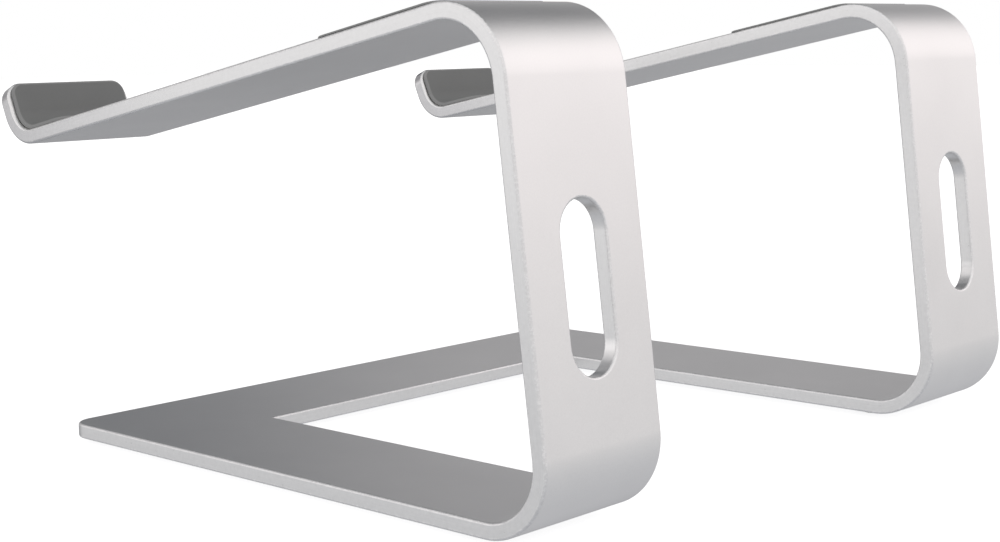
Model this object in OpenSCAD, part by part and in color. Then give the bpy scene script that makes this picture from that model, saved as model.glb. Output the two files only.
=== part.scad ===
// Fixed laptop stand: two bent aluminium arms joined by a front crossbar,
// with silicone pads where the laptop rests and rubber feet under the base.
// Units are millimetres. +Z is up, -Y is the user's side, and the origin is on
// the floor under the middle of the stand.

/* [Overall] */
// Width across both arms
stand_w = 255; // [220:1:300]
// Base length, from its front edge to the point where the leg's rear face meets its underside
base_l = 221.5; // [200:0.5:240]
// Height of the point where the leg's rear face meets the arm's top face, above the base's underside
stand_h = 148.5; // [120:0.5:180]
// Thickness of all the aluminium plate
plate_t = 5; // [4:0.5:6]

/* [Arms] */
// Width of each arm's strip
arm_w = 50; // [44:1:60]
// Forward lean of the legs, in degrees
leg_lean = 7; // [0:0.5:12]
// Downward slope of the arms towards the front, in degrees
arm_tilt = 11; // [5:0.5:18]
// Arm length along its top face, from the leg's rear face to the lip's inner face
arm_l = 230; // [200:0.5:240]
// Inner radius of the bends at the bottom and top of the leg
bend_r = 17.5; // [10:0.5:22]

/* [Lips] */
// Length of the lip's inner face, from the arm's top face to its edge
lip_l = 18.5; // [16:0.5:26]
// Angle between the lip and the arm, in degrees
lip_angle = 102; // [90:1:115]
// Inner radius of the bend between the arm and its lip
lip_bend_r = 9.5; // [6:0.5:12]
// Radius of the lip's two outer corners
lip_corner_r = 6.5; // [4:0.5:9]

/* [Cable slots] */
// Width of the slot in each leg
slot_w = 19; // [14:0.5:24]
// Height of the slot along the leg
slot_l = 48.5; // [30:0.5:56]
// Distance of the slot's middle from the base's underside, along the leg
slot_up = 68.25; // [62:0.25:76]

/* [Crossbar joint] */
// Depth of the crossbar, front to back
crossbar_d = 50; // [46:1:60]
// Radius of the crossbar's two front corners
crossbar_corner_r = 8; // [1:0.5:10]
// Length of the tongue on each arm that goes under the crossbar
tongue_l = 38; // [34:1:40]
// Thickness of the tongue
tongue_t = 2.2; // [2:0.1:2.6]
// Distance of the tongue's sides from the arm's sides
tongue_inset = 5; // [4:0.5:7]
// Clearance round the tongue in its pocket
tongue_gap = 0.1; // [0.05:0.05:0.2]

/* [Screws] */
// Thread diameter
screw_d = 3; // [3:0.5:3.5]
// Diameter of the countersunk head
screw_head_d = 6; // [5.5:0.1:6.4]
// Length with the head
screw_l = 4; // [3.6:0.1:4.2]
// Size of the hexagon socket across its flats
socket_af = 2; // [1.5:0.5:2]

/* [Pads and feet] */
// Thickness of the lip pads
lip_pad_t = 1.3; // [0.8:0.1:2]
// Thickness of the top pads
top_pad_t = 0.6; // [0.4:0.1:2]
// Thickness of the adhesive film behind each pad and foot
film_t = 0.2; // [0.1:0.05:0.3]
// Distance of the lip pad from the lip's sides
lip_pad_inset = 1.5; // [0.5:0.25:3]
// Distance that the lip pad runs back along the arm, from the lip's inner face
lip_pad_run = 25; // [15:1:40]
// Width of the top pad
top_pad_w = 48; // [36:1:48]
// Length of the top pad along the arm
top_pad_l = 49; // [30:1:80]
// Thickness of the rubber feet
foot_t = 1.8; // [1:0.1:3]
// Length of each foot
foot_l = 34; // [20:1:40]
// Width of each foot, whose ends are round
foot_w = 8; // [6:0.5:9]

/* [Hidden] */

$fn = 96;
aluminium = [0.84, 0.84, 0.85];
silicone = [0.40, 0.40, 0.40];
rubber = [0.13, 0.13, 0.14];
film = [0.92, 0.92, 0.88];
steel = [0.62, 0.62, 0.64];

// Directions in the side view, in degrees from +Y, following the strip from
// the base up the leg, forward along the arm and up the lip
base_dir = 0;
leg_dir = 90 + leg_lean;
arm_dir = 180 + arm_tilt;
lip_dir = arm_tilt + lip_angle;

// Corner points [y, z] of the strip's reference face in the side view. That
// face is the base's underside, the leg's rear, the arm's top and the lip's inside.
base_corner = [0, 0];
leg_corner = along(base_corner, leg_dir, stand_h / cos(leg_lean));
lip_corner = along(leg_corner, arm_dir, arm_l);

// Straight lengths that each bend takes from the strip on either side of its corner,
// and the bends' centres
outer_r = bend_r + plate_t;
base_setback = setback(outer_r, leg_dir - base_dir);
leg_setback = setback(outer_r, arm_dir - leg_dir);
lip_setback = setback(lip_bend_r, arm_dir - lip_dir);
base_centre = bend_centre(base_corner, base_dir, base_setback, outer_r);
leg_centre = bend_centre(leg_corner, leg_dir, leg_setback, outer_r);
lip_centre = bend_centre(lip_corner, arm_dir, lip_setback, -lip_bend_r);
bend_steps = 32;

// Foremost and rearmost points of the side view, and the shift that centres them
lip_tip = along(along(lip_corner, lip_dir, lip_l), lip_dir + 90, plate_t);
front_y = lip_tip[0];
rear_y = outer_r - base_setback;
centre_y = (front_y + rear_y) / 2;
foot_h = foot_t + film_t;

base_front = -base_l;
crossbar_back = base_front + crossbar_d;
arm_mid = (stand_w - arm_w) / 2;
tongue_w = arm_w - 2 * tongue_inset;
tongue_corner_r = 4;

// Cuts run past a face by overcut, and a rounded corner's cut is waste_h high
overcut = 1;
waste_h = 20;
round_over = 0.02;

// Screw places on the tongue, sideways from the arm's middle and back from the front edge
screw_spread = 12;
screw_back = 42;
screw_front = 24;
screw_gap = 0.1;
thread_depth = 0.3;
socket_depth = 1;

// Feet lie just behind the front edge and just ahead of the rear bend
foot_edge = 3;
film_inset = 0.5;
pad_tip_inset = 0.6;
pad_corner_r = 4.5;
top_pad_corner_r = 4;

function along(p, direction, d) = [p[0] + d * cos(direction), p[1] + d * sin(direction)];
function setback(r, turn) = r * tan(turn / 2);

// A negative radius puts the bend's centre outside the plate, on its reference face's side
function bend_centre(corner, direction, back, r) =
    along(along(corner, direction, -back), direction + 90, r);

// Point at distance h into the plate from a point on its reference face
function into(p, direction, h) = along(p, direction + 90, h);

// Points on an arc, between two directions from its centre
function arc(centre, r, from, to) =
    [for (i = [0:bend_steps]) along(centre, from + (to - from) * i / bend_steps, r)];

// The stretch of a line that goes along the arm, round its bend and up the lip, at
// depth h into the plate, between two distances from the lip's corner point
function lip_line(h, run, rise) = concat(
    [into(along(lip_corner, arm_dir, -run), arm_dir, h)],
    arc(lip_centre, lip_bend_r + h, arm_dir + 90, lip_dir + 90),
    [into(along(lip_corner, lip_dir, rise), lip_dir, h)]);

// The whole strip's line at depth h, from behind the crossbar to the lip's edge
function arm_line(h) = concat(
    [into([crossbar_back, 0], base_dir, h)],
    arc(base_centre, outer_r - h, base_dir - 90, leg_dir - 90),
    arc(leg_centre, outer_r - h, leg_dir - 90, arm_dir - 90),
    lip_line(h, arm_l - leg_setback, lip_l));

function reversed(points) = [for (i = [len(points) - 1:-1:0]) points[i]];

// Stand the model on its feet with its origin in the middle
module standing() {
    translate([0, -centre_y, foot_h]) children();
}

module mirrored_if(is_left) {
    mirror([is_left ? 1 : 0, 0, 0]) children();
}

// Extrude the outline between two lines of the side view across a width w
module sideways(line, other_line, w) {
    translate([-w / 2, 0, 0])
        rotate([90, 0, 90])
            linear_extrude(w)
                polygon(concat(line, reversed(other_line)));
}

// Place children on the strip: x across it, y along it and z into the plate
module on_strip(corner, direction) {
    translate([0, corner[0], corner[1]]) rotate([direction, 0, 0]) children();
}

// What rounding takes from the two corners of a strip of width w that ends at y = l.
// The round is a hair over its radius, so that it cuts the sides and doesn't graze them.
module corner_waste(w, l, r) {
    for (side = [0, 1])
        mirror([side, 0, 0])
            translate([w / 2 - r, l - r, -waste_h / 2])
                linear_extrude(waste_h)
                    difference() {
                        square(r + overcut);
                        circle(r + round_over);
                    }
}

// Outline of width w from y = 0 to y = l, with its far corners rounded
module round_ended(w, l, r) {
    translate([-w / 2, 0]) square([w, l - r]);
    translate([r - w / 2, 0]) square([w - 2 * r, l]);
    for (x = [r - w / 2, w / 2 - r]) translate([x, l - r]) circle(r);
}

// Rectangle about the origin with all its corners rounded
module rounded(w, l, r) {
    square([w - 2 * r, l], center = true);
    square([w, l - 2 * r], center = true);
    for (x = [-1, 1], y = [-1, 1])
        translate([x * (w / 2 - r), y * (l / 2 - r)]) circle(r);
}

module stadium(l, w) {
    square([l - w, w], center = true);
    for (x = [-1, 1]) translate([x * (l - w) / 2, 0]) circle(d = w);
}

module each_screw_place() {
    for (place = [[screw_spread, screw_back], [-screw_spread, screw_back], [0, screw_front]])
        translate([place[0], base_front + place[1], 0]) children();
}

// ---- Arms ----

module bent_strip() {
    difference() {
        sideways(arm_line(0), arm_line(plate_t), arm_w);
        on_strip(lip_corner, lip_dir) corner_waste(arm_w, lip_l, lip_corner_r);
        on_strip(base_corner, leg_dir)
            translate([0, slot_up, -overcut])
                linear_extrude(plate_t + 2 * overcut)
                    rotate([0, 0, 90]) stadium(slot_l, slot_w);
    }
}

// The tongue runs a little into the strip, so that the two are one solid
module tongue() {
    difference() {
        translate([0, crossbar_back + overcut, 0])
            mirror([0, 1, 0])
                linear_extrude(tongue_t)
                    round_ended(tongue_w, tongue_l + overcut, tongue_corner_r);
        each_screw_place() {
            translate([0, 0, -overcut])
                cylinder(d = screw_d + 2 * screw_gap, h = tongue_t + 2 * overcut);
            cylinder(d1 = screw_head_d, d2 = screw_d, h = (screw_head_d - screw_d) / 2);
        }
    }
}

module arm(is_left) {
    color(aluminium) mirrored_if(is_left) standing() translate([arm_mid, 0, 0]) {
        bent_strip();
        tongue();
    }
}

// ---- Crossbar ----

module tongue_pocket() {
    translate([0, crossbar_back, 0])
        mirror([0, 1, 0])
            translate([0, -overcut, -overcut])
                linear_extrude(tongue_t + overcut)
                    round_ended(tongue_w + 2 * tongue_gap, tongue_l + tongue_gap + overcut,
                                tongue_corner_r);
    each_screw_place() cylinder(d = screw_d, h = screw_l + thread_depth);
}

module front_crossbar() {
    color(aluminium) standing() difference() {
        translate([0, crossbar_back, 0])
            mirror([0, 1, 0])
                linear_extrude(plate_t)
                    round_ended(stand_w, crossbar_d, crossbar_corner_r);
        for (side = [-1, 1]) translate([side * arm_mid, 0, 0]) tongue_pocket();
    }
}

// ---- Pads ----

// Sheet lying on the lip and round its bend on to the arm, between two heights
// above the metal, inset from the lip's sides and edge
module lip_sheet(height, t, side_inset, tip_inset, run) {
    w = arm_w - 2 * side_inset;
    rise = lip_l - tip_inset;
    difference() {
        sideways(lip_line(-height, run, rise), lip_line(-height - t, run, rise), w);
        on_strip(lip_corner, lip_dir) corner_waste(w, rise, pad_corner_r);
        on_strip(lip_corner, arm_dir) mirror([0, 1, 0]) corner_waste(w, run, pad_corner_r);
    }
}

module lip_pad(is_left) {
    color(silicone) mirrored_if(is_left) standing() translate([arm_mid, 0, 0])
        lip_sheet(film_t, lip_pad_t, lip_pad_inset, pad_tip_inset, lip_pad_run);
}

module lip_pad_adhesive(is_left) {
    color(film) mirrored_if(is_left) standing() translate([arm_mid, 0, 0])
        lip_sheet(0, film_t, lip_pad_inset + film_inset, pad_tip_inset + film_inset,
                  lip_pad_run - film_inset);
}

// Flat sheet on the rear of the arm's top face, starting where its bend ends
module top_sheet(height, t, inset) {
    on_strip(leg_corner, arm_dir)
        translate([0, leg_setback + top_pad_l / 2, -height - t])
            linear_extrude(t)
                rounded(top_pad_w - 2 * inset, top_pad_l - 2 * inset, top_pad_corner_r);
}

module top_pad(is_left) {
    color(silicone) mirrored_if(is_left) standing() translate([arm_mid, 0, 0])
        top_sheet(film_t, top_pad_t, 0);
}

module top_pad_adhesive(is_left) {
    color(film) mirrored_if(is_left) standing() translate([arm_mid, 0, 0])
        top_sheet(0, film_t, film_inset);
}

// ---- Feet ----

// Distance of a foot's middle from the rear corner point
function foot_place(is_rear) =
    is_rear ? -base_setback - foot_edge - foot_w / 2 : base_front + foot_edge + foot_w / 2;

module foot(is_left, is_rear) {
    color(rubber) mirrored_if(is_left) standing()
        translate([arm_mid, foot_place(is_rear), -foot_h])
            linear_extrude(foot_t) stadium(foot_l, foot_w);
}

module foot_adhesive(is_left, is_rear) {
    color(film) mirrored_if(is_left) standing()
        translate([arm_mid, foot_place(is_rear), -film_t])
            linear_extrude(film_t) stadium(foot_l - 2 * film_inset, foot_w - 2 * film_inset);
}

// ---- Screws ----

// Countersunk screw with a hexagon socket, driven upwards from the base's underside
module joint_screw(is_left, sideways, back) {
    head_h = (screw_head_d - screw_d) / 2;
    color(steel) mirrored_if(is_left) standing()
        translate([arm_mid + sideways, base_front + back, 0]) difference() {
            union() {
                cylinder(d1 = screw_head_d, d2 = screw_d, h = head_h);
                cylinder(d = screw_d, h = screw_l);
            }
            translate([0, 0, -overcut])
                cylinder(d = socket_af / cos(30), h = socket_depth + overcut, $fn = 6);
        }
}

arm(false);  // right_arm
arm(true);  // left_arm
front_crossbar();
lip_pad(false);  // right_lip_pad
lip_pad(true);  // left_lip_pad
top_pad(false);  // right_top_pad
top_pad(true);  // left_top_pad
foot(false, false);  // front_right_foot
foot(true, false);  // front_left_foot
foot(false, true);  // rear_right_foot
foot(true, true);  // rear_left_foot
lip_pad_adhesive(false);  // right_lip_pad_adhesive
lip_pad_adhesive(true);  // left_lip_pad_adhesive
top_pad_adhesive(false);  // right_top_pad_adhesive
top_pad_adhesive(true);  // left_top_pad_adhesive
foot_adhesive(false, false);  // front_right_foot_adhesive
foot_adhesive(true, false);  // front_left_foot_adhesive
foot_adhesive(false, true);  // rear_right_foot_adhesive
foot_adhesive(true, true);  // rear_left_foot_adhesive
joint_screw(false, screw_spread, screw_back);  // right_outer_screw
joint_screw(false, -screw_spread, screw_back);  // right_inner_screw
joint_screw(false, 0, screw_front);  // right_front_screw
joint_screw(true, screw_spread, screw_back);  // left_outer_screw
joint_screw(true, -screw_spread, screw_back);  // left_inner_screw
joint_screw(true, 0, screw_front);  // left_front_screw
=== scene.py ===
"""Looks of the laptop stand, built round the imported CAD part. Units are metres, in the part's own frame:
+Z is up, -Y is the user's side, and the origin is on the floor under the middle of the stand."""

import math

import bmesh
import bpy
from mathutils import Matrix, Vector
from mathutils.geometry import delaunay_2d_cdt


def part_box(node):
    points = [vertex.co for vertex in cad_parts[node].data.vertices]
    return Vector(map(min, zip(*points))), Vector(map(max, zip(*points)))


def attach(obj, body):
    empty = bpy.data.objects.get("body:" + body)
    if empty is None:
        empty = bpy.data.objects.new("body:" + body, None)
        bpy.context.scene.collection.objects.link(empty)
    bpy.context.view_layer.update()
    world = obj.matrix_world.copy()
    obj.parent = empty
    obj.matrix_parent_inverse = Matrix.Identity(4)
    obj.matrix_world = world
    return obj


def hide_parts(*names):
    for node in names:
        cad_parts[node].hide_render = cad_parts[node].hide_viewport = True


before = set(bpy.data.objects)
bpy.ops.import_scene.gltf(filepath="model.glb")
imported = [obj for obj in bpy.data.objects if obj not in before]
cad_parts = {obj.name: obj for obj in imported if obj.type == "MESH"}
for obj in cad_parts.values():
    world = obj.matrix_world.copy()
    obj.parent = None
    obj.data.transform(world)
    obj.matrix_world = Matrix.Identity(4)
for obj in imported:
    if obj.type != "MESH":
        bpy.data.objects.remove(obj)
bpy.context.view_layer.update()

MM = 0.001

# ---- Sizes that the CAD part's boxes don't show ----

LEG_LEAN = 7
ARM_TILT = 11
LIP_ANGLE = 102
STAND_H = 148.5 * MM
ARM_L = 230 * MM
LIP_L = 18.5 * MM
BEND_R = 17.5 * MM
LIP_BEND_R = 9.5 * MM
LIP_CORNER_R = 6.5 * MM
SLOT_W = 19 * MM
SLOT_L = 48.5 * MM
SLOT_UP = 68.25 * MM
CROSSBAR_CORNER_R = 8 * MM
TONGUE_L = 38 * MM
TONGUE_T = 2.2 * MM
TONGUE_INSET = 5 * MM
TONGUE_GAP = 0.1 * MM
TONGUE_CORNER_R = 4 * MM
SCREW_R = 1.5 * MM
SCREW_HEAD_R = 3 * MM
SCREW_GAP = 0.1 * MM
SCREW_L = 4 * MM
SOCKET_R = 1 * MM / math.cos(math.radians(30))
SOCKET_DEPTH = 1 * MM
THREAD_DEPTH = 0.3 * MM
FILM_T = 0.2 * MM
LIP_PAD_T = 1.3 * MM
TOP_PAD_T = 0.6 * MM
PAD_TIP_INSET = 0.6 * MM
PAD_RUN = 25 * MM
PAD_CORNER_R = 4.5 * MM
TOP_PAD_L = 49 * MM
TOP_PAD_CORNER_R = 4 * MM
FILM_INSET = 0.5 * MM
# Where the screws at a corner stand: aside of the arm's middle, and back from the stand's front
SCREW_ASIDE = 12 * MM
SCREW_PAIR_BACK = 42 * MM
FRONT_SCREW_BACK = 24 * MM

# ---- Sizes and places from the frame ----

crossbar_low, crossbar_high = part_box("front_crossbar")
arm_low, arm_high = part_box("right_arm")
PLATE_T = crossbar_high.z - crossbar_low.z
BASE_Z = crossbar_low.z
ARM_W = arm_high.x - arm_low.x
ARM_X = (arm_high.x + arm_low.x) / 2
SEAM_Y = crossbar_high.y
OUTER_R = BEND_R + PLATE_T

# ---- Finish of the edges ----

EDGE_R = 0.8 * MM
LIP_PAD_EDGE_R = 0.8 * MM
TOP_PAD_EDGE_R = 0.4 * MM
FOOT_EDGE_R = 0.4 * MM
# Where a pad or foot meets its film
BACK_EDGE_R = 0.1 * MM
FILM_EDGE_R = 0.05 * MM
# Bevels of a screw's head, of its socket and of its tip
HEAD_BEVEL = 0.12 * MM
SOCKET_BEVEL = 0.1 * MM
TIP_BEVEL = 0.3 * MM
# Steps round an edge, a bend, a corner and a whole circle
EDGE_STEPS = 5
BEND_STEPS = 32
ROUND_STEPS = 16
TURNED_STEPS = 48
# Edges that turn by more degrees than this shade sharp
SHARP_ANGLE = 35
# Cuts run past the faces that they open by this much
OVERCUT = 1 * MM
# Points closer than the first of these are merged, and lengths under the second count as none
MERGE_WITHIN = 1e-7
NO_LENGTH = 1e-8
# The tolerance, in millimetres, with which flat areas are filled
FILL_TOLERANCE = 1e-6
# How far short of a stretch's start, along the strip, a point is already on it
START_SLACK = 1e-9
# Triangles join into one face if, in radians, they lie this flat and make a shape this square
JOIN_FLATNESS = 0.01
JOIN_SQUARENESS = 0.8


# ---- Outlines ----
# A point of an outline is (x, y, u, v): its place, and the way it moves when the edge is rounded,
# which is into the plate.


def arc_points(x, y, radius, start, end, steps, inward=-1):
    """Points on an arc about x, y, from start to end in degrees. They move towards its centre,
    or away from it when inward is 1, as round a hole."""
    found = []
    for i in range(steps + 1):
        a = math.radians(start + (end - start) * i / steps)
        c, s = math.cos(a), math.sin(a)
        found.append((x + radius * c, y + radius * s, inward * c, inward * s))
    return found


def rounded_rectangle(x, y, width, length, radius):
    """Outline about x, y with all its corners rounded."""
    found = []
    for sx, sy, start in ((1, 1, 0), (-1, 1, 90), (-1, -1, 180), (1, -1, 270)):
        cx = x + sx * (width / 2 - radius)
        cy = y + sy * (length / 2 - radius)
        found += arc_points(cx, cy, radius, start, start + 90, ROUND_STEPS)
    return found


def stadium(x, y, width, length, inward=-1):
    """Outline about x, y with half-round ends, longer along y."""
    r = width / 2
    reach = length / 2 - r
    return arc_points(x, y + reach, r, 0, 180, 2 * ROUND_STEPS, inward) + arc_points(
        x, y - reach, r, 180, 360, 2 * ROUND_STEPS, inward
    )


def circle(x, y, radius, inward=-1):
    return arc_points(x, y, radius, 0, 360, TURNED_STEPS, inward)[:-1]


def strip_outline(width, start, end, radius, stations, start_radius=0.0):
    """Outline of a strip along y from start to end, with its far corners rounded, and its near
    ones too if start_radius isn't 0. It has a point at each station on both sides."""
    half = width / 2
    sides = [s for s in stations if start + start_radius < s < end - radius]
    found = []
    if start_radius:
        found += arc_points(
            half - start_radius, start + start_radius, start_radius, -90, 0, ROUND_STEPS
        )
    else:
        found.append((half, start, -1, 0))
    found += [(half, s, -1, 0) for s in sides]
    found += arc_points(half - radius, end - radius, radius, 0, 90, ROUND_STEPS)
    found += arc_points(radius - half, end - radius, radius, 90, 180, ROUND_STEPS)
    found += [(-half, s, 1, 0) for s in reversed(sides)]
    if start_radius:
        found += arc_points(
            start_radius - half, start + start_radius, start_radius, 180, 270, ROUND_STEPS
        )
    else:
        found.append((-half, start, 1, 0))
    return found


def rounded_profile(low, high, low_r=EDGE_R, high_r=EDGE_R):
    """(inset, height) pairs up a plate's edge, with both its corners rounded."""
    found = []
    for i in range(EDGE_STEPS + 1):
        a = math.radians(90 * i / EDGE_STEPS)
        found.append((low_r * (1 - math.sin(a)), low + low_r * (1 - math.cos(a))))
    for i in range(EDGE_STEPS + 1):
        a = math.radians(90 * i / EDGE_STEPS)
        found.append((high_r * (1 - math.cos(a)), high - high_r * (1 - math.sin(a))))
    return found


# ---- Meshes ----


def inside(x, y, rings):
    """Whether a point is in the outline and in none of its holes."""
    crossings = 0
    for ring in rings:
        for (x0, y0), (x1, y1) in zip(ring, ring[1:] + ring[:1]):
            if (y0 > y) != (y1 > y) and x < x0 + (y - y0) * (x1 - x0) / (y1 - y0):
                crossings += 1
    return crossings % 2 == 1


def cap(bm, rings, verts, stations):
    """Fills the area between an outline and its holes with faces on their vertices."""
    flat = [p for ring in rings for p in ring]
    corners = [v for ring in verts for v in ring]
    edges = []
    first = 0
    for ring in rings:
        edges += [(first + i, first + (i + 1) % len(ring)) for i in range(len(ring))]
        first += len(ring)
    for s in stations:
        ends = [i for i, (x, y) in enumerate(rings[0]) if abs(y - s) < NO_LENGTH]
        if len(ends) == 2:
            edges.append(tuple(ends))
    points = [Vector((x / MM, y / MM)) for x, y in flat]
    _, _, faces, source, _, _ = delaunay_2d_cdt(points, edges, [], 0, FILL_TOLERANCE)
    triangles = []
    for face in faces:
        at = [source[i][0] for i in face]
        mid_x = sum(flat[i][0] for i in at) / len(at)
        mid_y = sum(flat[i][1] for i in at) / len(at)
        if inside(mid_x, mid_y, rings):
            triangles.append(bm.faces.new([corners[i] for i in at]))
    bmesh.ops.join_triangles(
        bm,
        faces=triangles,
        angle_face_threshold=JOIN_FLATNESS,
        angle_shape_threshold=JOIN_SQUARENESS,
    )


def add_plate(bm, loops, place, stations=()):
    """Adds a closed plate. Its loops are (outline, profile) pairs, the first round the outside and
    the others round holes, and place(x, y, height) gives a point in the row frame."""
    spread = bm.verts.layers.float_vector["spread"]
    ends = ([], []), ([], [])
    for outline, profile in loops:
        rings = []
        for inset, height in profile:
            ring = []
            flat = [(x + inset * u, y + inset * v) for x, y, u, v in outline]
            for x, y in flat:
                vert = bm.verts.new(place(x, y, height))
                vert[spread] = (x, y, height)
                ring.append(vert)
            rings.append((flat, ring))
        for (_, below), (_, above) in zip(rings, rings[1:]):
            for i in range(len(below)):
                j = (i + 1) % len(below)
                side = bm.faces.new((below[i], below[j], above[j], above[i]))
                side.material_index = 1
        for end, (flat, ring) in zip(ends, (rings[0], rings[-1])):
            end[0].append(flat)
            end[1].append(ring)
    for flats, verts in ends:
        cap(bm, flats, verts, stations)


def add_turned(bm, rings, place):
    """Adds a closed solid through rings of equally many points, each (points, height)."""
    spread = bm.verts.layers.float_vector["spread"]
    made = []
    for points, height in rings:
        ring = []
        for x, y in points:
            vert = bm.verts.new(place(x, y, height))
            vert[spread] = (x, y, height)
            ring.append(vert)
        made.append(ring)
    for below, above in zip(made, made[1:]):
        for i in range(len(below)):
            j = (i + 1) % len(below)
            bm.faces.new((below[i], below[j], above[j], above[i]))
    bm.faces.new(made[0])
    bm.faces.new(made[-1])


def new_mesh():
    bm = bmesh.new()
    bm.verts.layers.float_vector.new("spread")
    return bm


def finished(bm, name, materials):
    """Closes the mesh into an object whose flat faces shade flat and whose round edges shade smooth."""
    bmesh.ops.remove_doubles(bm, verts=bm.verts, dist=MERGE_WITHIN)
    bmesh.ops.dissolve_degenerate(bm, edges=bm.edges, dist=NO_LENGTH)
    bmesh.ops.recalc_face_normals(bm, faces=bm.faces)
    mesh = bpy.data.meshes.new(name)
    bm.to_mesh(mesh)
    bm.free()
    for m in materials:
        mesh.materials.append(m)
    mesh.polygons.foreach_set("use_smooth", [True] * len(mesh.polygons))
    mesh.set_sharp_from_angle(angle=math.radians(SHARP_ANGLE))
    obj = bpy.data.objects.new(name, mesh)
    bpy.context.scene.collection.objects.link(obj)
    return obj


def weight_normals(obj):
    modifier = obj.modifiers.new("flat faces stay flat", "WEIGHTED_NORMAL")
    modifier.keep_sharp = True
    modifier.weight = 50


def piece(obj, node):
    """obj stands for one CAD node, in its place."""
    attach(obj, "root")
    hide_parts(node)


# ---- The bent strip's side view ----


def heading(direction):
    a = math.radians(direction)
    return Vector((math.cos(a), math.sin(a)))


def setback(radius, turn):
    return radius * math.tan(math.radians(turn) / 2)


BASE_DIR = 0
LEG_DIR = 90 + LEG_LEAN
ARM_DIR = 180 + ARM_TILT
LIP_DIR = ARM_TILT + LIP_ANGLE
base_setback = setback(OUTER_R, LEG_DIR - BASE_DIR)
leg_setback = setback(OUTER_R, ARM_DIR - LEG_DIR)
lip_setback = setback(LIP_BEND_R, ARM_DIR - LIP_DIR)

# Corner of the leg's rear face and the base's underside
rear_corner = Vector((arm_high.y - OUTER_R + base_setback, BASE_Z))
base_run = rear_corner.x - base_setback - SEAM_Y
leg_run = STAND_H / math.cos(math.radians(LEG_LEAN)) - base_setback - leg_setback
arm_run = ARM_L - leg_setback - lip_setback
lip_run = LIP_L - lip_setback


def stretches():
    """The straight and bent stretches of the strip's reference face, which is the base's underside,
    the leg's rear, the arm's top and the lip's inside. Each is (start, length, point, direction, turn)."""
    plan = [
        (base_run, 0),
        (OUTER_R * math.radians(LEG_DIR - BASE_DIR), LEG_DIR - BASE_DIR),
        (leg_run, 0),
        (OUTER_R * math.radians(ARM_DIR - LEG_DIR), ARM_DIR - LEG_DIR),
        (arm_run, 0),
        (LIP_BEND_R * math.radians(ARM_DIR - LIP_DIR), LIP_DIR - ARM_DIR),
        (lip_run, 0),
    ]
    found = []
    start, point, direction = 0.0, Vector((SEAM_Y, BASE_Z)), BASE_DIR
    for length, turn in plan:
        found.append((start, length, point, direction, turn))
        if turn:
            radius = length / math.radians(turn)
            centre = point + radius * heading(direction + 90)
            point = centre - radius * heading(direction + turn + 90)
        else:
            point = point + length * heading(direction)
        start += length
        direction += turn
    return found


STRETCHES = stretches()
STRIP_L = STRETCHES[-1][0] + STRETCHES[-1][1]
LEG_START = STRETCHES[2][0]
ARM_START = STRETCHES[4][0]
LIP_BEND_START = STRETCHES[5][0]
# The slot's middle along the strip
SLOT_AT = LEG_START + SLOT_UP - base_setback


def bend_stations():
    """Distances along the strip at each step of its bends."""
    found = []
    for start, length, _, _, turn in STRETCHES:
        if turn:
            found += [start + length * i / BEND_STEPS for i in range(BEND_STEPS + 1)]
    return found


STATIONS = bend_stations()


def on_strip(side, flip=1):
    """A place function for the strip of the arm on one side: x across it, y along it and the height
    into the plate, or out of it when flip is -1."""

    def place(x, y, height):
        start, length, point, direction, turn = next(
            s for s in reversed(STRETCHES) if y >= s[0] - START_SLACK or s is STRETCHES[0]
        )
        along = y - start
        if turn:
            radius = length / math.radians(turn)
            centre = point + radius * heading(direction + 90)
            direction += turn * along / length
            at = centre - radius * heading(direction + 90)
        else:
            at = point + along * heading(direction)
        at = at + flip * height * heading(direction + 90)
        return Vector((side * (ARM_X + x), at.x, at.y))

    return place


def on_base(side=1, x0=0.0):
    """A place function for flat pieces on the base, with heights from its underside."""
    return lambda x, y, height: Vector((side * (x0 + x), y, BASE_Z + height))


# ---- Materials ----


def new_material(name, colour, roughness, metallic=0.0, specular=0.5):
    mat = bpy.data.materials.new(name)
    mat.use_nodes = True
    shader = mat.node_tree.nodes["Principled BSDF"]
    shader.inputs["Base Color"].default_value = (*colour, 1)
    shader.inputs["Roughness"].default_value = roughness
    shader.inputs["Metallic"].default_value = metallic
    shader.inputs["Specular IOR Level"].default_value = specular
    return mat


def coordinates(mat, scale, spread=False):
    """Coordinates in the row frame, or along and across the strip when spread is true."""
    nodes, links = mat.node_tree.nodes, mat.node_tree.links
    mapping = nodes.new("ShaderNodeMapping")
    mapping.inputs["Scale"].default_value = scale
    if spread:
        source = nodes.new("ShaderNodeAttribute")
        source.attribute_name = "spread"
        links.new(source.outputs["Vector"], mapping.inputs["Vector"])
    else:
        source = nodes.new("ShaderNodeTexCoord")
        links.new(source.outputs["Object"], mapping.inputs["Vector"])
    return mapping.outputs["Vector"]


def noise(mat, vector, scale, detail=2.0, roughness=0.5):
    nodes, links = mat.node_tree.nodes, mat.node_tree.links
    texture = nodes.new("ShaderNodeTexNoise")
    texture.inputs["Scale"].default_value = scale
    texture.inputs["Detail"].default_value = detail
    texture.inputs["Roughness"].default_value = roughness
    links.new(vector, texture.inputs["Vector"])
    return texture.outputs["Fac"]


def ranged(mat, value, low, high, from_low=0.3, from_high=0.7):
    nodes, links = mat.node_tree.nodes, mat.node_tree.links
    node = nodes.new("ShaderNodeMapRange")
    node.inputs["From Min"].default_value = from_low
    node.inputs["From Max"].default_value = from_high
    node.inputs["To Min"].default_value = low
    node.inputs["To Max"].default_value = high
    links.new(value, node.inputs["Value"])
    return node.outputs["Result"]


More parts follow.
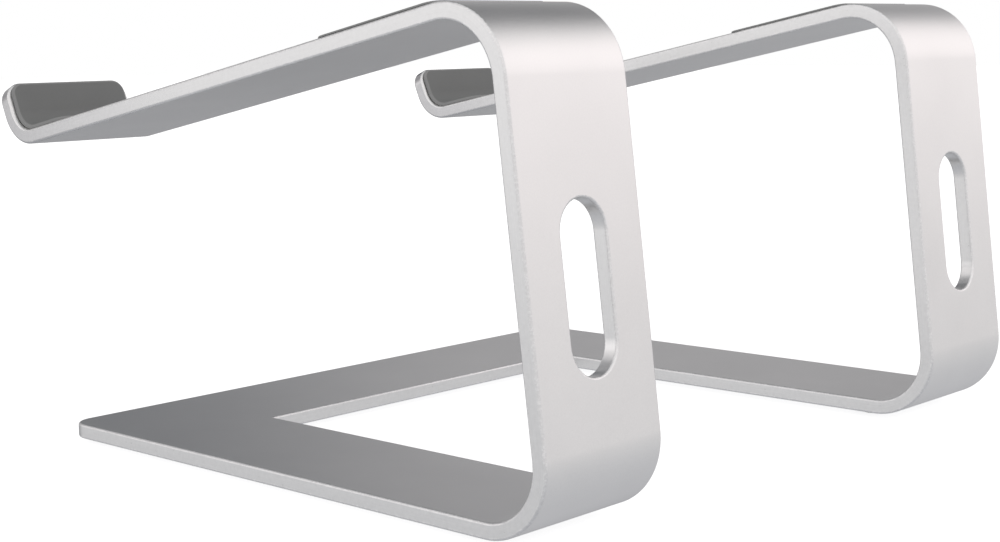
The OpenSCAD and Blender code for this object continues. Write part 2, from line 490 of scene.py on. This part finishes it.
def blended(mat, factor, dark, light):
    nodes, links = mat.node_tree.nodes, mat.node_tree.links
    node = nodes.new("ShaderNodeMix")
    node.data_type = "RGBA"
    for socket, colour in ((node.inputs["A"], dark), (node.inputs["B"], light)):
        if isinstance(colour, tuple):
            socket.default_value = (*colour, 1)
        else:
            links.new(colour, socket)
    links.new(factor, node.inputs["Factor"])
    return node.outputs["Result"]


def summed(mat, parts):
    """Sum of (value, weight) pairs."""
    nodes, links = mat.node_tree.nodes, mat.node_tree.links
    total = None
    for value, weight in parts:
        node = nodes.new("ShaderNodeMath")
        node.operation = "MULTIPLY_ADD"
        node.inputs[1].default_value = weight
        node.inputs[2].default_value = 0
        links.new(value, node.inputs[0])
        if total is not None:
            links.new(total, node.inputs[2])
        total = node.outputs["Value"]
    return total


def multiplied(mat, a, b):
    nodes, links = mat.node_tree.nodes, mat.node_tree.links
    node = nodes.new("ShaderNodeMath")
    node.operation = "MULTIPLY"
    links.new(a, node.inputs[0])
    links.new(b, node.inputs[1])
    return node.outputs["Value"]


# The corner mask turns from 0 to 1 within this much of where the corner starts
MASK_BLUR = 0.2 * MM
# Where along the strip the cut edges' darker, glossier colour starts and is full, from the lip's bend
DARKER_FROM = -90 * MM
DARKER_FULL = 8 * MM


def corner_mask(mat):
    """1 on the plate's rounded corners and 0 on the flat of its edge between them."""
    nodes, links = mat.node_tree.nodes, mat.node_tree.links
    split = nodes.new("ShaderNodeSeparateXYZ")
    away = nodes.new("ShaderNodeMath")
    away.operation = "SUBTRACT"
    away.inputs[1].default_value = PLATE_T / 2
    size = nodes.new("ShaderNodeMath")
    size.operation = "ABSOLUTE"
    links.new(coordinates(mat, (1, 1, 1), spread=True), split.inputs["Vector"])
    links.new(split.outputs["Z"], away.inputs[0])
    links.new(away.outputs["Value"], size.inputs[0])
    flat = PLATE_T / 2 - EDGE_R
    return ranged(mat, size.outputs["Value"], 0, 1, flat - MASK_BLUR, flat + MASK_BLUR)


def lip_mask(mat):
    """0 along most of the strip, rising to 1 at the lip, but for the rounded inner corner."""
    split = mat.node_tree.nodes.new("ShaderNodeSeparateXYZ")
    mat.node_tree.links.new(coordinates(mat, (1, 1, 1), spread=True), split.inputs["Vector"])
    start, end = LIP_BEND_START + DARKER_FROM, LIP_BEND_START + DARKER_FULL
    near_lip = ranged(mat, split.outputs["Y"], 0, 1, start, end)
    below_corner = ranged(mat, split.outputs["Z"], 0, 1, 0.6 * EDGE_R, 1.1 * EDGE_R)
    return multiplied(mat, near_lip, below_corner)


def bumped(mat, height, distance, strength=1.0, normal=None):
    nodes, links = mat.node_tree.nodes, mat.node_tree.links
    node = nodes.new("ShaderNodeBump")
    node.inputs["Strength"].default_value = strength
    node.inputs["Distance"].default_value = distance
    links.new(height, node.inputs["Height"])
    if normal is not None:
        links.new(normal, node.inputs["Normal"])
    return node.outputs["Normal"]


def connect(mat, socket, value):
    mat.node_tree.links.new(value, mat.node_tree.nodes["Principled BSDF"].inputs[socket])


def blasted_aluminium():
    """Bead-blasted and clear-anodised plate: fine even grain, with slight clouding."""
    mat = new_material("blasted_aluminium", (0.82, 0.815, 0.81), roughness=0.36, metallic=1.0)
    here = coordinates(mat, (1, 1, 1))
    clouds = noise(mat, here, scale=28, detail=3.0)
    grain = noise(mat, here, scale=1700, detail=3.0, roughness=0.65)
    tone = summed(mat, ((clouds, 0.5), (grain, 0.5)))
    connect(mat, "Base Color", blended(mat, tone, (0.74, 0.735, 0.735), (0.90, 0.895, 0.89)))
    connect(mat, "Roughness", ranged(mat, grain, 0.31, 0.41))
    connect(mat, "Normal", bumped(mat, grain, distance=0.014 * MM))
    return mat


def machined_aluminium():
    """The plate's cut edges: fine lines run along the cut, and the broken corners are frosted
    and lightly nicked."""
    mat = new_material("machined_aluminium", (0.84, 0.84, 0.84), roughness=0.34, metallic=1.0)
    along = coordinates(mat, (60, 60, 4200), spread=True)
    lines = noise(mat, along, scale=1.0, detail=3.0, roughness=0.6)
    mottle = noise(mat, coordinates(mat, (1, 1, 1)), scale=650, detail=3.0, roughness=0.6)
    specks = noise(mat, coordinates(mat, (1, 1, 1)), scale=1300, detail=3.0, roughness=0.7)
    nicks = ranged(mat, specks, 0, 1, 0.48, 0.66)
    frosted = multiplied(mat, nicks, corner_mask(mat))
    tone = summed(mat, ((lines, 0.35), (mottle, 0.45), (frosted, 0.35)))
    bright = blended(mat, tone, (0.68, 0.68, 0.68), (0.93, 0.93, 0.93))
    # Towards the lip the cut edges turn darker and glossier, all but their rounded inner corner.
    dull = blended(mat, tone, (0.44, 0.44, 0.45), (0.70, 0.70, 0.71))
    lip_darkening = lip_mask(mat)
    connect(mat, "Base Color", blended(mat, lip_darkening, bright, dull))
    rough = ranged(mat, tone, 0.26, 0.42, 0.2, 0.9)
    connect(mat, "Roughness", summed(mat, ((rough, 1.0), (lip_darkening, -0.18))))
    fine = bumped(mat, lines, distance=0.010 * MM)
    connect(mat, "Normal", bumped(mat, frosted, distance=0.05 * MM, normal=fine))
    return mat


def pad_silicone(name, dark, light):
    """Grey moulded silicone with a dull, faintly grained skin."""
    mat = new_material(name, light, roughness=0.7, metallic=0.0, specular=0.4)
    here = coordinates(mat, (1, 1, 1))
    clouds = noise(mat, here, scale=45, detail=3.0)
    grain = noise(mat, here, scale=2200, detail=2.0, roughness=0.6)
    connect(mat, "Base Color", blended(mat, clouds, dark, light))
    connect(mat, "Roughness", ranged(mat, grain, 0.62, 0.78))
    connect(mat, "Normal", bumped(mat, grain, distance=0.015 * MM))
    return mat


def foot_rubber():
    """Dark rubber with a coarser grain that grips the desk."""
    mat = new_material("foot_rubber", (0.03, 0.03, 0.032), roughness=0.75, metallic=0.0, specular=0.4)
    here = coordinates(mat, (1, 1, 1))
    clouds = noise(mat, here, scale=60, detail=3.0)
    grain = noise(mat, here, scale=1500, detail=3.0, roughness=0.6)
    connect(mat, "Base Color", blended(mat, clouds, (0.022, 0.022, 0.024), (0.04, 0.04, 0.042)))
    connect(mat, "Roughness", ranged(mat, grain, 0.66, 0.86))
    connect(mat, "Normal", bumped(mat, grain, distance=0.03 * MM))
    return mat


def adhesive_film():
    """Milky double-sided film, of which only the rim shows."""
    mat = new_material("adhesive_film", (0.7, 0.7, 0.66), roughness=0.5)
    here = coordinates(mat, (1, 1, 1))
    streaks = noise(mat, here, scale=300, detail=2.0)
    connect(mat, "Base Color", blended(mat, streaks, (0.62, 0.62, 0.58), (0.78, 0.78, 0.74)))
    connect(mat, "Roughness", ranged(mat, streaks, 0.42, 0.6))
    connect(mat, "Normal", bumped(mat, streaks, distance=0.01 * MM))
    return mat


def screw_steel():
    """Turned steel with fine rings round the head."""
    mat = new_material("screw_steel", (0.5, 0.5, 0.52), roughness=0.32, metallic=1.0)
    here = coordinates(mat, (1, 1, 1))
    grain = noise(mat, here, scale=1800, detail=3.0, roughness=0.6)
    wear = noise(mat, here, scale=420, detail=2.0)
    connect(mat, "Base Color", blended(mat, wear, (0.42, 0.42, 0.43), (0.58, 0.58, 0.6)))
    connect(mat, "Roughness", ranged(mat, grain, 0.26, 0.42))
    connect(mat, "Normal", bumped(mat, grain, distance=0.006 * MM))
    return mat


BLASTED = blasted_aluminium()
MACHINED = machined_aluminium()
SILICONE = pad_silicone("pad_silicone", (0.158, 0.163, 0.162), (0.188, 0.193, 0.191))
# A lighter copy of the pad silicone for the pads' side walls and rounded edges: a painted highlight along
# the pads' rims.
SILICONE_PAINTED_HIGHLIGHT = pad_silicone("pad_silicone_painted_highlight", (0.22, 0.225, 0.224), (0.28, 0.285, 0.283))
RUBBER = foot_rubber()
FILM = adhesive_film()
STEEL = screw_steel()

# ---- Arms ----

SIDES = (("right", 1), ("left", -1))
tongue_w = ARM_W - 2 * TONGUE_INSET
screw_places = {
    "outer": (SCREW_ASIDE, crossbar_low.y + SCREW_PAIR_BACK),
    "inner": (-SCREW_ASIDE, crossbar_low.y + SCREW_PAIR_BACK),
    "front": (0.0, crossbar_low.y + FRONT_SCREW_BACK),
}


def forward_tongue(width, length):
    """Outline of a tongue from the seam forward, with its front corners rounded."""
    turned = strip_outline(width, 0, length, TONGUE_CORNER_R, ())
    return [(x, SEAM_Y - y, u, -v) for x, y, u, v in turned]


def combined(obj, tool, operation):
    """Joins a tool to an object or cuts it away, and deletes the tool."""
    boolean = obj.modifiers.new("boolean", "BOOLEAN")
    boolean.operation = operation
    boolean.solver = "EXACT"
    boolean.use_self = True
    boolean.object = tool
    with bpy.context.temp_override(object=obj, active_object=obj):
        bpy.ops.object.modifier_apply(modifier=boolean.name)
    bpy.data.objects.remove(tool)
    obj.data.set_sharp_from_angle(angle=math.radians(SHARP_ANGLE))


def add_arm(name, side):
    bm = new_mesh()
    outline = strip_outline(ARM_W, 0, STRIP_L, LIP_CORNER_R, STATIONS)
    slot = stadium(0, SLOT_AT, SLOT_W, SLOT_L, 1)
    edge = rounded_profile(0, PLATE_T)
    add_plate(bm, [(outline, edge), (slot, edge)], on_strip(side), STATIONS)
    clear_r = SCREW_R + SCREW_GAP
    sink = SCREW_HEAD_R - clear_r
    countersink = [(sink, 0), (0, sink), (0, TONGUE_T)]
    holes = [(circle(x, y, clear_r, 1), countersink) for x, y in screw_places.values()]
    arm = finished(bm, name + "_plate", [BLASTED, MACHINED])
    bm = new_mesh()
    tongue = (forward_tongue(tongue_w, TONGUE_L), [(0, 0), (0, TONGUE_T)])
    add_plate(bm, [tongue] + holes, on_base(side, ARM_X))
    combined(arm, finished(bm, name + "_tongue", [BLASTED, MACHINED]), "UNION")
    weight_normals(arm)
    piece(arm, name)


for side_name, side in SIDES:
    add_arm(side_name + "_arm", side)

# ---- Crossbar ----


def crossbar_outline():
    """The crossbar's outline. Where it meets an arm its edge stays square, and the rounding of
    its rear edge turns into the arm's in the corner between them."""
    half = crossbar_high.x
    gap = ARM_X - ARM_W / 2
    r = CROSSBAR_CORNER_R
    front = crossbar_low.y + r
    found = [(half, SEAM_Y, -1, 0), (gap, SEAM_Y, 1, 0), (gap, SEAM_Y, 1, -1)]
    found += [(-gap, SEAM_Y, -1, -1), (-gap, SEAM_Y, -1, 0), (-half, SEAM_Y, 1, 0)]
    found += arc_points(r - half, front, r, 180, 270, ROUND_STEPS)
    found += arc_points(half - r, front, r, 270, 360, ROUND_STEPS)
    return found


def add_crossbar():
    bm = new_mesh()
    add_plate(bm, [(crossbar_outline(), rounded_profile(0, PLATE_T))], on_base())
    bar = finished(bm, "front_crossbar_plate", [BLASTED, MACHINED])
    for side_name, side in SIDES:
        cut = new_mesh()
        pocket = forward_tongue(tongue_w + 2 * TONGUE_GAP, TONGUE_L + TONGUE_GAP)
        pocket = [(x, y if y < SEAM_Y else y + OVERCUT, u, v) for x, y, u, v in pocket]
        add_plate(cut, [(pocket, [(0, -OVERCUT), (0, TONGUE_T)])], on_base(side, ARM_X))
        for x, y in screw_places.values():
            hole = (circle(x, y, SCREW_R), [(0, TONGUE_T - OVERCUT), (0, SCREW_L + THREAD_DEPTH)])
            add_plate(cut, [hole], on_base(side, ARM_X))
        combined(bar, finished(cut, side_name + "_cut", [MACHINED]), "DIFFERENCE")
    weight_normals(bar)
    piece(bar, "front_crossbar")


add_crossbar()

# ---- Pads ----

pad_low, pad_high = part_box("right_lip_pad")
top_low, top_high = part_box("right_top_pad")
lip_profile = rounded_profile(FILM_T, FILM_T + LIP_PAD_T, BACK_EDGE_R, LIP_PAD_EDGE_R)
top_profile = rounded_profile(FILM_T, FILM_T + TOP_PAD_T, BACK_EDGE_R, TOP_PAD_EDGE_R)
film_profile = rounded_profile(0, FILM_T, FILM_EDGE_R, FILM_EDGE_R)


def add_sheet(name, side, outline, profile, materials, node):
    """A pad or film that lies on the strip's reference face and follows its bend."""
    bm = new_mesh()
    add_plate(bm, [(outline, profile)], on_strip(side, -1), STATIONS)
    sheet = finished(bm, name, materials)
    weight_normals(sheet)
    piece(sheet, node)


def lip_outline(inset):
    start = LIP_BEND_START - (PAD_RUN - lip_setback) + inset
    end = STRIP_L - PAD_TIP_INSET - inset
    width = pad_high.x - pad_low.x - 2 * inset
    return strip_outline(width, start, end, PAD_CORNER_R, STATIONS, PAD_CORNER_R)


def top_outline(inset):
    width = top_high.x - top_low.x - 2 * inset
    length = TOP_PAD_L - 2 * inset
    return rounded_rectangle(0, ARM_START + TOP_PAD_L / 2, width, length, TOP_PAD_CORNER_R)


for side_name, side in SIDES:
    for where, outline, profile in (
        ("lip", lip_outline, lip_profile),
        ("top", top_outline, top_profile),
    ):
        node = side_name + "_" + where + "_pad"
        # The pads' sides and rounded edges take the lighter silicone, which paints a highlight along their
        # rims.
        skin = (SILICONE, SILICONE_PAINTED_HIGHLIGHT)
        add_sheet(node + "_skin", side, outline(0), profile, skin, node)
        node += "_adhesive"
        film = (FILM, FILM)
        add_sheet(node + "_film", side, outline(FILM_INSET), film_profile, film, node)

# ---- Feet ----


def add_foot(node, material, low_r, high_r):
    low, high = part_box(node)
    middle = (low + high) / 2
    size = high - low
    outline = stadium(0, 0, size.y, size.x)
    bm = new_mesh()
    add_plate(
        bm,
        [(outline, rounded_profile(0, size.z, low_r, high_r))],
        lambda x, y, height: Vector((middle.x + y, middle.y + x, low.z + height)),
    )
    foot = finished(bm, node + "_pad", [material, material])
    weight_normals(foot)
    piece(foot, node)


for row in ("front", "rear"):
    for side_name, _ in SIDES:
        foot_node = row + "_" + side_name + "_foot"
        add_foot(foot_node, RUBBER, FOOT_EDGE_R, BACK_EDGE_R)
        add_foot(foot_node + "_adhesive", FILM, FILM_EDGE_R, FILM_EDGE_R)

# ---- Screws ----


def around(radius):
    turns = [2 * math.pi * i / TURNED_STEPS for i in range(TURNED_STEPS)]
    return [(radius * math.cos(a), radius * math.sin(a)) for a in turns]


def hexagon(radius):
    """As many points as around(), on the sides of a hexagon."""
    found = []
    for i in range(TURNED_STEPS):
        corner, part = divmod(i * 6 / TURNED_STEPS, 1)
        a, b = (math.radians(60 * (corner + k)) for k in (0, 1))
        found.append(
            (
                radius * ((1 - part) * math.cos(a) + part * math.cos(b)),
                radius * ((1 - part) * math.sin(a) + part * math.sin(b)),
            )
        )
    return found


def add_screw(side_name, side, place_name):
    node = side_name + "_" + place_name + "_screw"
    x0, y0 = screw_places[place_name]
    head_h = SCREW_HEAD_R - SCREW_R
    rings = [
        (hexagon(SOCKET_R), SOCKET_DEPTH),
        (hexagon(SOCKET_R), SOCKET_BEVEL),
        (hexagon(SOCKET_R + SOCKET_BEVEL), 0.0),
        (around(SCREW_HEAD_R - HEAD_BEVEL), 0.0),
        (around(SCREW_HEAD_R - HEAD_BEVEL / 3), HEAD_BEVEL / 3),
        (around(SCREW_HEAD_R - HEAD_BEVEL), HEAD_BEVEL),
        (around(SCREW_R), head_h),
        (around(SCREW_R), SCREW_L - TIP_BEVEL),
        (around(SCREW_R - TIP_BEVEL), SCREW_L),
    ]
    bm = new_mesh()
    add_turned(bm, rings, lambda x, y, h: on_base(side, ARM_X)(x0 + x, y0 + y, h))
    screw = finished(bm, node + "_steel", [STEEL])
    weight_normals(screw)
    piece(screw, node)


for side_name, side in SIDES:
    for place_name in screw_places:
        add_screw(side_name, side, place_name)

# ---- Floor ----

# Half the floor's side, in metres, the squares along it, and how much the floor glows so that it is white
FLOOR_REACH = 6
FLOOR_SQUARES = 40
FLOOR_GLOW = 0.75


def add_floor():
    """A plain pale floor. The metal mirrors the studio below the horizon in its place."""
    bm = bmesh.new()
    bmesh.ops.create_grid(bm, x_segments=FLOOR_SQUARES, y_segments=FLOOR_SQUARES, size=FLOOR_REACH)
    mesh = bpy.data.meshes.new("floor")
    bm.to_mesh(mesh)
    bm.free()
    floor = bpy.data.objects.new("floor", mesh)
    bpy.context.scene.collection.objects.link(floor)
    mat = new_material("floor_paper", (0.6, 0.6, 0.6), roughness=0.95, metallic=0.0, specular=0.0)
    shader = mat.node_tree.nodes["Principled BSDF"]
    shader.inputs["Emission Color"].default_value = (1, 1, 1, 1)
    shader.inputs["Emission Strength"].default_value = FLOOR_GLOW
    mesh.materials.append(mat)
    floor.visible_glossy = False
    floor.visible_diffuse = False


add_floor()

# ---- Studio ----

# The point that the panels face, and each panel's place, width, height, brightness and colour
PANELS_FACE = (0, 0, 0.08)
PANELS = (
    ("rear_panel", (-1.5, 1.1, 0.75), 1.8, 1.2, 0.25, (1.0, 0.86, 0.86)),
    ("side_panel", (1.42, -1.25, 0.3), 1.5, 1.0, 0.24, (1.0, 1.0, 1.0)),
)


def area_light(name, location, width, height, radiance, colour):
    data = bpy.data.lights.new(name, "AREA")
    data.shape = "RECTANGLE"
    data.size = width
    data.size_y = height
    data.energy = radiance * math.pi * width * height
    data.color = colour
    light = bpy.data.objects.new(name, data)
    light.location = location
    facing = Vector(PANELS_FACE) - Vector(location)
    light.rotation_euler = facing.to_track_quat("-Z", "Y").to_euler()
    light.visible_camera = False
    bpy.context.scene.collection.objects.link(light)


def levelled(nodes, links, value, stops):
    """A colour ramp on a value from -1 to 1, through (value, colour) stops."""
    lift = nodes.new("ShaderNodeMapRange")
    lift.inputs["From Min"].default_value = -1
    ramp = nodes.new("ShaderNodeValToRGB")
    ramp.color_ramp.interpolation = "EASE"
    elements = ramp.color_ramp.elements
    for element, (at, colour) in zip(elements, (stops[0], stops[-1])):
        element.position = (at + 1) / 2
        element.color = (*colour, 1)
    for at, colour in stops[1:-1]:
        elements.new((at + 1) / 2).color = (*colour, 1)
    links.new(value, lift.inputs["Value"])
    links.new(lift.outputs["Result"], ramp.inputs["Fac"])
    return ramp.outputs["Color"]


# The room's light by height, from straight down to straight up
ROOM_LEVELS = (
    (-1.0, (0.51, 0.515, 0.54)),
    (-0.5, (0.61, 0.615, 0.635)),
    (-0.2, (0.70, 0.70, 0.71)),
    (0.0, (0.775, 0.762, 0.762)),
    (0.22, (1.0, 0.97, 0.97)),
    (0.5, (1.03, 1.00, 1.00)),
    (1.0, (0.88, 0.88, 0.88)),
)
# Two dark cards beyond the stand's left front corner, a low one and a high one: the direction of
# each from the stand, and what it leaves of the room's light by the cosine of the angle from there
CARDS = (
    (
        (-0.50, -0.80, 0.34),
        (
            (-1.0, 1.0),
            (0.30, 1.0),
            (0.50, 0.85),
            (0.60, 0.72),
            (0.70, 0.54),
            (0.80, 0.47),
            (0.90, 0.50),
            (0.97, 0.47),
            (1.0, 0.03),
        ),
    ),
    (
        (-0.55, -0.30, 0.78),
        ((-1.0, 1.0), (0.84, 1.0), (0.90, 0.70), (0.96, 0.37), (1.0, 0.33)),
    ),
)
# The cards take a little more of the red than of the blue
CARD_TAKES = (1.015, 1.0, 0.985)


def studio():
    """A pale room with two soft panels and two dark cards, in front of a white backdrop."""
    for panel in PANELS:
        area_light(*panel)
    world = bpy.data.worlds.new("studio")
    bpy.context.scene.world = world
    world.use_nodes = True
    nodes, links = world.node_tree.nodes, world.node_tree.links
    nodes.clear()
    coordinate = nodes.new("ShaderNodeTexCoord")
    split = nodes.new("ShaderNodeSeparateXYZ")
    links.new(coordinate.outputs["Generated"], split.inputs["Vector"])
    light = levelled(nodes, links, split.outputs["Z"], ROOM_LEVELS)
    for direction, levels in CARDS:
        towards = nodes.new("ShaderNodeVectorMath")
        towards.operation = "DOT_PRODUCT"
        towards.inputs[1].default_value = Vector(direction).normalized()
        links.new(coordinate.outputs["Generated"], towards.inputs[0])
        stops = [(at, [1 - (1 - level) * part for part in CARD_TAKES]) for at, level in levels]
        shade = levelled(nodes, links, towards.outputs["Value"], stops)
        shaded = nodes.new("ShaderNodeMix")
        shaded.data_type = "RGBA"
        shaded.blend_type = "MULTIPLY"
        shaded.inputs["Factor"].default_value = 1
        links.new(light, shaded.inputs["A"])
        links.new(shade, shaded.inputs["B"])
        light = shaded.outputs["Result"]
    room = nodes.new("ShaderNodeBackground")
    backdrop = nodes.new("ShaderNodeBackground")
    backdrop.inputs["Color"].default_value = (1, 1, 1, 1)
    seen = nodes.new("ShaderNodeLightPath")
    mix = nodes.new("ShaderNodeMixShader")
    out = nodes.new("ShaderNodeOutputWorld")
    links.new(light, room.inputs["Color"])
    links.new(seen.outputs["Is Camera Ray"], mix.inputs["Fac"])
    links.new(room.outputs["Background"], mix.inputs[1])
    links.new(backdrop.outputs["Background"], mix.inputs[2])
    links.new(mix.outputs["Shader"], out.inputs["Surface"])


studio()
bpy.context.scene.view_settings.view_transform = "Standard"
bpy.context.scene.view_settings.look = "None"

# ---- Camera ----

CAMERA_AT = (0.4569, 0.41083, 0.13593)
# Degrees: the view's turn from -Y towards -X, its tilt above level, and its roll
CAMERA_TURN = (46.588, -8.737, -0.928)
CAMERA_LENS = 61.84
CAMERA_SHIFT = (0.0331, 0.0332)


def add_camera():
    yaw, pitch, roll = (math.radians(a) for a in CAMERA_TURN)
    forward = Vector(
        (-math.sin(yaw) * math.cos(pitch), -math.cos(yaw) * math.cos(pitch), math.sin(pitch))
    )
    level = forward.cross(Vector((0, 0, 1))).normalized()
    upward = level.cross(forward)
    right = math.cos(roll) * level + math.sin(roll) * upward
    up = math.cos(roll) * upward - math.sin(roll) * level
    data = bpy.data.cameras.new("camera")
    data.sensor_width = 36
    data.lens = CAMERA_LENS
    data.shift_x, data.shift_y = CAMERA_SHIFT
    camera = bpy.data.objects.new("camera", data)
    camera.matrix_world = Matrix.Translation(CAMERA_AT) @ (
        Matrix((right, up, -forward)).transposed().to_4x4()
    )
    bpy.context.scene.collection.objects.link(camera)
    bpy.context.scene.camera = camera


add_camera()
